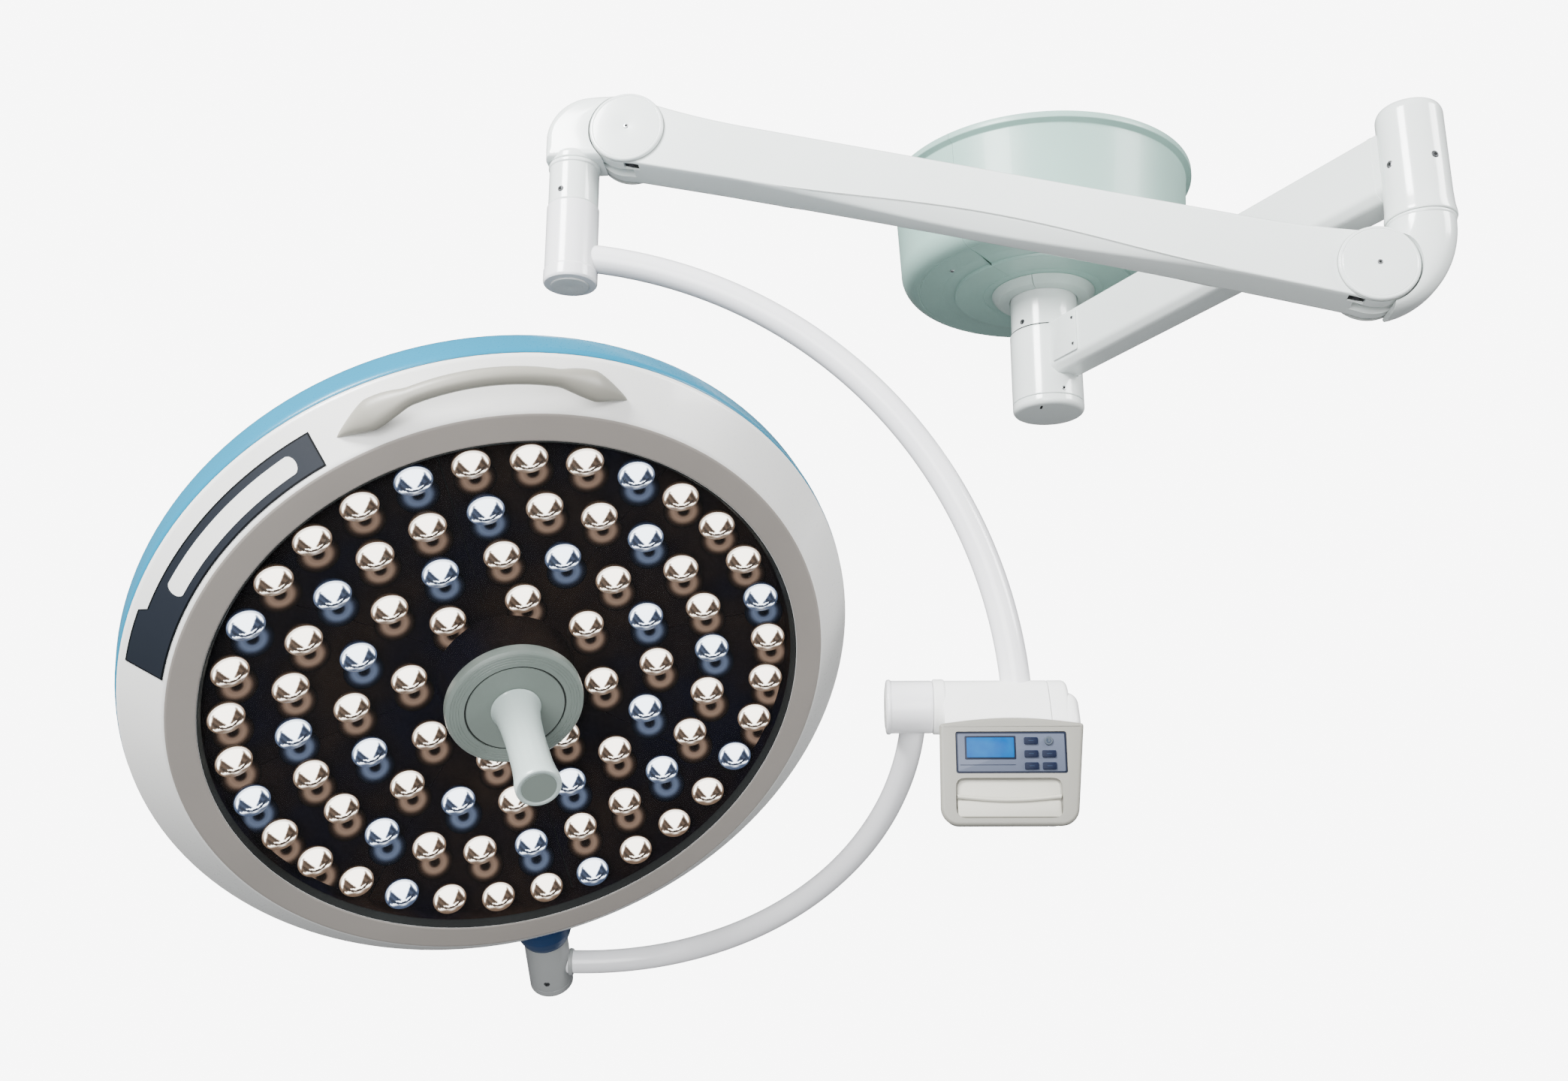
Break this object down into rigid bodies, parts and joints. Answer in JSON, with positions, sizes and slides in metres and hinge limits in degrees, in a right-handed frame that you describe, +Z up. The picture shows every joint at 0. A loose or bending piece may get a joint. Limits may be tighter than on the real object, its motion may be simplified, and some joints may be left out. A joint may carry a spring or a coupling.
{
  "type": "ceiling-mounted surgical light",
  "caption": "White ceiling-mounted operating light: canopy, swivelling extension arm, balanced arm, tubular yoke with control box, and a round blue-backed LED lamp head.",
  "frame": {"origin": "centre of the ceiling plate's upper face, on the ceiling column's axis", "axes": "+Z up, out of the ceiling face into the ceiling; +X to the viewer's right and +Y away from the viewer in the rest pose"},
  "size_m": [1.3343, 1.0418, 1.1348],
  "materials": {
    "white_enamel": "gloss white enamel with a faint green cast",
    "canopy_plastic": "satin pale sage moulding",
    "beige_plastic": "satin warm grey moulding",
    "blue_shell": "gloss light blue paint",
    "grey_plastic": "satin grey with faint turning rings",
    "steel": "machined",
    "window": "clear",
    "board": "dark satin board",
    "lens": "clear moulded acrylic",
    "screen": "backlit blue screen",
    "keypad": "satin bluish grey foil",
    "key": "satin dark navy",
    "power": "satin grey"
  },
  "bodies": {
    "ceiling_mount": {"ceiling_plate": "steel", "drop_tube": "white_enamel", "canopy_left": "canopy_plastic", "canopy_right": "canopy_plastic", "column_collar": "white_enamel", "hub_spindle": "steel"},
    "extension_arm": {"hub_housing": "white_enamel", "hub_end_cap": "white_enamel", "hub_cover_plate": "white_enamel", "hub_bearing": "steel", "extension_arm": "white_enamel", "swivel_housing": "white_enamel"},
    "rear_knuckle": {"rear_knuckle": "white_enamel", "rear_knuckle_pin": "steel", "swivel_bearing": "steel"},
    "spring_arm": {"spring_arm_shell": "white_enamel", "rear_cover_near": "white_enamel", "rear_cover_far": "white_enamel", "front_cover_near": "white_enamel", "front_cover_far": "white_enamel", "balance_spring": "steel", "spring_guide": "steel"},
    "levelling_link": {"levelling_link": "steel"},
    "front_knuckle": {"front_knuckle": "white_enamel", "front_knuckle_pin": "steel", "end_tube": "white_enamel"},
    "yoke": {"yoke_socket": "white_enamel", "yoke_spigot": "steel", "upper_arc": "white_enamel", "box_housing": "white_enamel", "box_frame": "beige_plastic", "keypad_panel": "keypad", "lcd_window": "screen", "control_board": "board"},
    "lower_yoke": {"lower_barrel": "white_enamel", "lower_arc": "white_enamel", "pivot_housing": "grey_plastic"},
    "lamp_head": {"pivot_cone": "blue_shell", "rear_shell": "blue_shell", "front_ring": "white_enamel", "window_pane": "window", "led_board": "board", "driver_board": "board", "grab_handle": "white_enamel", "centre_flange": "grey_plastic", "lens_module_1": "lens", "lens_module_2": "lens", "lens_module_3": "lens", "lens_module_4": "lens", "lens_module_5": "lens", "lens_module_6": "lens", "lens_module_7": "lens", "lens_module_8": "lens"},
    "sterile_handle": {"sterile_handle": "grey_plastic"},
    "key_0": {"key_0": "key"},
    "power_key": {"power_key": "power"},
    "key_1": {"key_1": "key"},
    "key_2": {"key_2": "key"},
    "key_3": {"key_3": "key"},
    "key_4": {"key_4": "key"}
  },
  "joints": [
    {"name": "extension_swivel", "type": "hinge", "parent": "ceiling_mount", "child": "extension_arm", "pos_m": [0, 0, -0.266], "axis": [0, 0, 1], "range_deg": [-165, 165]},
    {"name": "spring_arm_swivel", "type": "hinge", "parent": "extension_arm", "child": "rear_knuckle", "pos_m": [0.29811, -0.56067, -0.33], "axis": [0, 0, 1], "range_deg": [-25, 270]},
    {"name": "spring_arm_pitch", "type": "hinge", "parent": "rear_knuckle", "child": "spring_arm", "pos_m": [0.24233, -0.55579, -0.398], "axis": [-0.0872, -0.9962, 0], "range_deg": [-6, 36]},
    {"name": "levelling_link_pitch", "type": "hinge", "parent": "rear_knuckle", "child": "levelling_link", "pos_m": [0.24233, -0.55579, -0.418], "axis": [-0.0872, -0.9962, 0], "range_deg": [-6, 36]},
    {"name": "front_knuckle_level", "type": "hinge", "parent": "spring_arm", "child": "front_knuckle", "pos_m": [-0.54739, -0.4867, -0.20035], "axis": [-0.0872, -0.9962, 0], "range_deg": [-36, 6]},
    {"name": "yoke_swivel", "type": "hinge", "parent": "front_knuckle", "child": "yoke", "pos_m": [-0.61015, -0.48121, -0.2842], "axis": [0, 0, 1], "range_deg": [-175, 175]},
    {"name": "lower_yoke_hinge", "type": "hinge", "parent": "yoke", "child": "lower_yoke", "pos_m": [-0.65313, -0.48008, -0.845], "axis": [0.9997, -0.0262, 0], "range_deg": [-135, 90]},
    {"name": "lamp_tilt", "type": "hinge", "parent": "lower_yoke", "child": "lamp_head", "pos_m": [-0.65401, -0.51351, -0.81489], "axis": [0.0195, 0.7429, -0.6691], "range_deg": [-129, 91]},
    {"name": "sterile_handle_turn", "type": "hinge", "parent": "lamp_head", "child": "sterile_handle", "pos_m": [-0.63514, -0.55155, -0.85657], "axis": [0.3172, -0.6393, -0.7005], "range_deg": [-60, 60]},
    {"name": "key_0_press", "type": "slide", "parent": "yoke", "child": "key_0", "axis": [0.0262, 0.9997, 0], "range_m": [0, 0.0012], "stiffness_N_per_m": 600, "springref_m": -0.0005},
    {"name": "power_key_press", "type": "slide", "parent": "yoke", "child": "power_key", "axis": [0.0262, 0.9997, 0], "range_m": [0, 0.0012], "stiffness_N_per_m": 600, "springref_m": -0.0005},
    {"name": "key_1_press", "type": "slide", "parent": "yoke", "child": "key_1", "axis": [0.0262, 0.9997, 0], "range_m": [0, 0.0012], "stiffness_N_per_m": 600, "springref_m": -0.0005},
    {"name": "key_2_press", "type": "slide", "parent": "yoke", "child": "key_2", "axis": [0.0262, 0.9997, 0], "range_m": [0, 0.0012], "stiffness_N_per_m": 600, "springref_m": -0.0005},
    {"name": "key_3_press", "type": "slide", "parent": "yoke", "child": "key_3", "axis": [0.0262, 0.9997, 0], "range_m": [0, 0.0012], "stiffness_N_per_m": 600, "springref_m": -0.0005},
    {"name": "key_4_press", "type": "slide", "parent": "yoke", "child": "key_4", "axis": [0.0262, 0.9997, 0], "range_m": [0, 0.0012], "stiffness_N_per_m": 600, "springref_m": -0.0005}
  ],
  "couplings": [
    {"joint": "levelling_link_pitch", "follows": "spring_arm_pitch", "ratio": 1},
    {"joint": "front_knuckle_level", "follows": "spring_arm_pitch", "ratio": -1}
  ]
}
